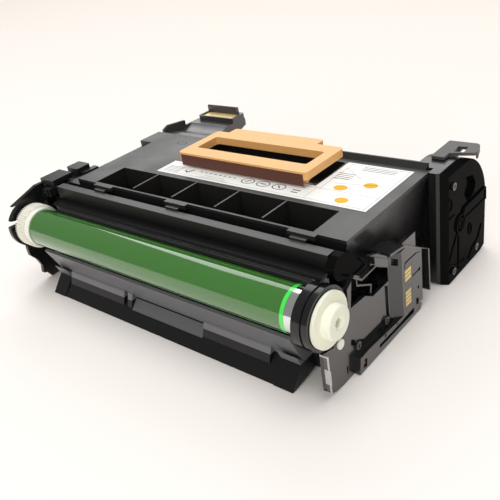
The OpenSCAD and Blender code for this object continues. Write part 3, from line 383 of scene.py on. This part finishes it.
hook = [bar(95.6, 69.8, 6.4, 1.0, 62), bar(92.4, 68.6, 3.6, 1.0, -35)]
dashes = [bar(DASH_X + DASH_STEP * i, DASH_Y, 2.2, 0.8, 30 * (i % 3)) for i in range(DASHES)]
dials = []
for dial_x, hand_angle in DIALS:
    dials += ring(dial_x, DIAL_Y, DIAL_R, DIAL_LINE, DIAL_SQUASH)
    dials.append(bar(dial_x, DIAL_Y, 4.5, 0.8, hand_angle))
short_rules = [bar(188, 71, 6, 0.9), bar(188, 68, 5, 0.9)]
short_rules += [bar(205, 96 + 2.6 * row, 12, 0.55) for row in range(4)]
short_rules += [bar(222, 112 + 2.2 * row, 24, 0.5) for row in range(3)]
print_shapes("label_marks", hook + dashes + dials + short_rules, ink)

SPOT_SQUASH = 0.8
SPOTS = [(222, 69, 4.4), (212, 84, 4.6), (228, 93, 4.6)]
print_shapes("label_spots", [disc(x, y, radius, SPOT_SQUASH) for x, y, radius in SPOTS], amber)

# Grey lines: the border of the L-shaped label, the rule between its halves and faint rules
BORDER_IN = 2
BORDER_LINE = 0.35
FOLD_X, FOLD_Y = 200.0, 79.0

label_low, label_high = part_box("label_sheet")
label_x0, label_y0, _ = in_drum_frame(label_low)
label_x1, label_y1, _ = in_drum_frame(label_high)
border = outline_bars([
    (label_x0 + BORDER_IN, label_y0 + BORDER_IN), (label_x1 - BORDER_IN, label_y0 + BORDER_IN),
    (label_x1 - BORDER_IN, label_y1 - BORDER_IN), (FOLD_X, label_y1 - BORDER_IN),
    (FOLD_X, FOLD_Y), (label_x0 + BORDER_IN, FOLD_Y),
], BORDER_LINE)
dividers = [bar(198, 70.5, 0.3, 14), bar(220, FOLD_Y, 44, 0.3)]
faint_rules = [bar(80, 65.0 + 2.0 * row, 15, 0.9) for row in range(5)]
faint_rules += [bar(121, 63.6 + 1.9 * row, 30 - 6 * row, 0.45) for row in range(3)]
slanted_lines = [(214, 100, 34, 22), (222, 92, 36, 10), (208, 106, 22, -35)]
slants = [bar(x, y, length, BORDER_LINE, angle) for x, y, length, angle in slanted_lines]
print_shapes("label_border", border + dividers + faint_rules + slants, rule_grey)


# ------------------------------------------------- strips, marks and contacts

TRAY_KNEE = Vector((1.0, -36.4))
TRAY_TOE = Vector((-12.0, -50.0))
PANEL_X0, PANEL_X1 = 91.0, 158.5


def tray_strip(name, low, high, thickness, material):
    """Thin strip on the skirt of the tray, between two shares of its slope from knee to toe."""
    down = TRAY_TOE - TRAY_KNEE
    out = Vector((down.y, -down.x)).normalized() * thickness
    start, stop = TRAY_KNEE + down * low, TRAY_KNEE + down * high
    section = [start, stop, stop + out, start + out]
    verts = [at(x, p.x, p.y) for x in (PANEL_X0, PANEL_X1) for p in section]
    add_piece(name, verts, prism_faces(len(section)), material, "housing", "black_plastic")


def handle_painted_shade():
    """Painted shade of the undercut front bar of the handle, a dark brown sheet on its front
    face only.
    """
    corner_in, bottom_in, top_in = 2.6, 0.3, 1.4
    out, sunk = 0.1, 0.02
    low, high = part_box("carry_handle")
    x0, y, z0 = in_drum_frame(low)
    x1, _, z1 = in_drum_frame(high)
    shape = block(x0 + corner_in, x1 - corner_in, y - out, y + sunk, z0 + bottom_in, z1 - top_in)
    add_piece("handle_undercut_painted_shade", *shape, shade_brown, "handle", "orange_plastic")


CHIP_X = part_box("chip_upper")[1][0] / MM - DRUM.x
STRIPE_T = 0.12
STRIPE_INSET = 0.14


def chip_stripes(name, y0, y1, z0, z1, count):
    """Bare contact stripes on the face of a chip, one above the other."""
    step = (z1 - z0) / count
    shapes = []
    for i in range(count):
        low, high = z0 + step * (i + STRIPE_INSET), z0 + step * (i + 1 - STRIPE_INSET)
        shapes.append(block(CHIP_X, CHIP_X + STRIPE_T, y0, y1, low, high))
    add_piece(name, *join_shapes(shapes), gold, "housing", "gold_board")


# Painted reflection and painted shade on the tray: a grey strip on the middle of its sloping
# panel, and a near black line along its knee
tray_strip("tray_panel_painted_reflection", 0.04, 0.5, 0.25, painted_reflection_grey)
tray_strip("tray_knee_painted_shade", 0.0, 0.035, 0.3, groove_and_painted_shade)
handle_painted_shade()
oval = ring(45.4, 111.6, 5.2, 0.5, 0.5)
print_shapes("deck_groove", oval, groove_and_painted_shade, DECK_Z, "black_plastic")
rail_mark = block(257.4, 258.2, 24.8, 26.4, -46.4, -45.2)
add_piece("rail_mark", *rail_mark, red, "housing", "black_plastic")
chip_stripes("stripes_upper", 74.4, 81.8, -19.4, -11.2, 3)
chip_stripes("stripes_lower", 74.4, 81.0, -37.2, -26.2, 4)


# ------------------------------------------------------------- surroundings

FLOOR_SIZE = 12.0
FLOOR_Z = -0.0003
FLOOR_NEAR, FLOOR_NEAR_Y = (0.955, 0.9, 0.865, 1.0), -0.2
FLOOR_FAR, FLOOR_FAR_Y = (0.85, 0.787, 0.728, 1.0), 1.2


def stage_floor():
    """Pale floor that grows a little darker towards the back."""
    bpy.ops.mesh.primitive_plane_add(size=FLOOR_SIZE, location=(0.0, 0.0, FLOOR_Z))
    floor = bpy.context.object
    floor.name = "stage_floor"
    mat, tree, shader = new_material("stage_floor")
    _, share = place_on_axis(tree, "Y", FLOOR_NEAR_Y, FLOOR_FAR_Y)
    ramp = tree.nodes.new("ShaderNodeValToRGB")
    ramp.color_ramp.elements[0].color = FLOOR_NEAR
    ramp.color_ramp.elements[1].color = FLOOR_FAR
    tree.links.new(share, ramp.inputs["Fac"])
    tree.links.new(ramp.outputs["Color"], shader.inputs["Base Color"])
    shader.inputs["Roughness"].default_value = 1.0
    shader.inputs["Specular IOR Level"].default_value = 0.0
    floor.data.materials.append(mat)


def area_light(name, place, size, power):
    """A soft rectangular lamp that points at the unit and isn't seen by the camera."""
    data = bpy.data.lights.new(name, "AREA")
    data.shape = "RECTANGLE"
    data.size, data.size_y = size
    data.energy = power
    lamp = bpy.data.objects.new(name, data)
    bpy.context.scene.collection.objects.link(lamp)
    lamp.location = place
    lamp.rotation_euler = (-Vector(place)).to_track_quat("-Z", "Y").to_euler()
    lamp.visible_camera = False
    return lamp


def world_light(strength, color, seen):
    """Soft light from all sides. The camera itself sees a plain pale backdrop instead."""
    world = bpy.data.worlds.new("studio")
    bpy.context.scene.world = world
    world.use_nodes = True
    tree = world.node_tree
    background = tree.nodes["Background"]
    background.inputs["Color"].default_value = (*color, 1.0)
    background.inputs["Strength"].default_value = strength
    backdrop = tree.nodes.new("ShaderNodeBackground")
    backdrop.inputs["Color"].default_value = (*seen, 1.0)
    path = tree.nodes.new("ShaderNodeLightPath")
    mix = tree.nodes.new("ShaderNodeMixShader")
    tree.links.new(path.outputs["Is Camera Ray"], mix.inputs["Fac"])
    tree.links.new(background.outputs["Background"], mix.inputs[1])
    tree.links.new(backdrop.outputs["Background"], mix.inputs[2])
    tree.links.new(mix.outputs["Shader"], tree.nodes["World Output"].inputs["Surface"])


stage_floor()
world_light(strength=0.3, color=(1.0, 0.985, 0.96), seen=(0.98, 0.93, 0.85))
area_light("back_softbox", place=(-2.2, 3.2, 2.6), size=(4.0, 3.2), power=82.0)
area_light("top_softbox", place=(0.3, 0.1, 4.5), size=(4.2, 4.2), power=140.0)
fill = area_light("front_softbox", place=(1.1, -3.0, 1.6), size=(2.6, 2.0), power=48.0)
fill.visible_glossy = False


# ------------------------------------------------------------------- camera

# Solved from edges of the unit in the photograph
FOCAL_PX = 650.63
IMAGE_PX = 500.0
SENSOR_MM = 36.0
CAMERA_PLACE = at(421.58, -220.99, 198.98)
BACK = Vector((0.6096, -0.6302, 0.4808)).normalized()
RIGHT = Vector((0.7647, 0.6272, -0.1476))
RIGHT = (RIGHT - BACK * RIGHT.dot(BACK)).normalized()
UP = BACK.cross(RIGHT)

camera_data = bpy.data.cameras.new("camera")
camera_data.sensor_fit = "HORIZONTAL"
camera_data.sensor_width = SENSOR_MM
camera_data.lens = SENSOR_MM * FOCAL_PX / IMAGE_PX
camera_data.clip_start = 0.01
camera = bpy.data.objects.new("camera", camera_data)
bpy.context.scene.collection.objects.link(camera)
turn = Matrix((RIGHT, UP, BACK)).transposed()
camera.matrix_world = Matrix.Translation(CAMERA_PLACE) @ turn.to_4x4()
bpy.context.scene.camera = camera

bpy.context.scene.view_settings.view_transform = "Standard"
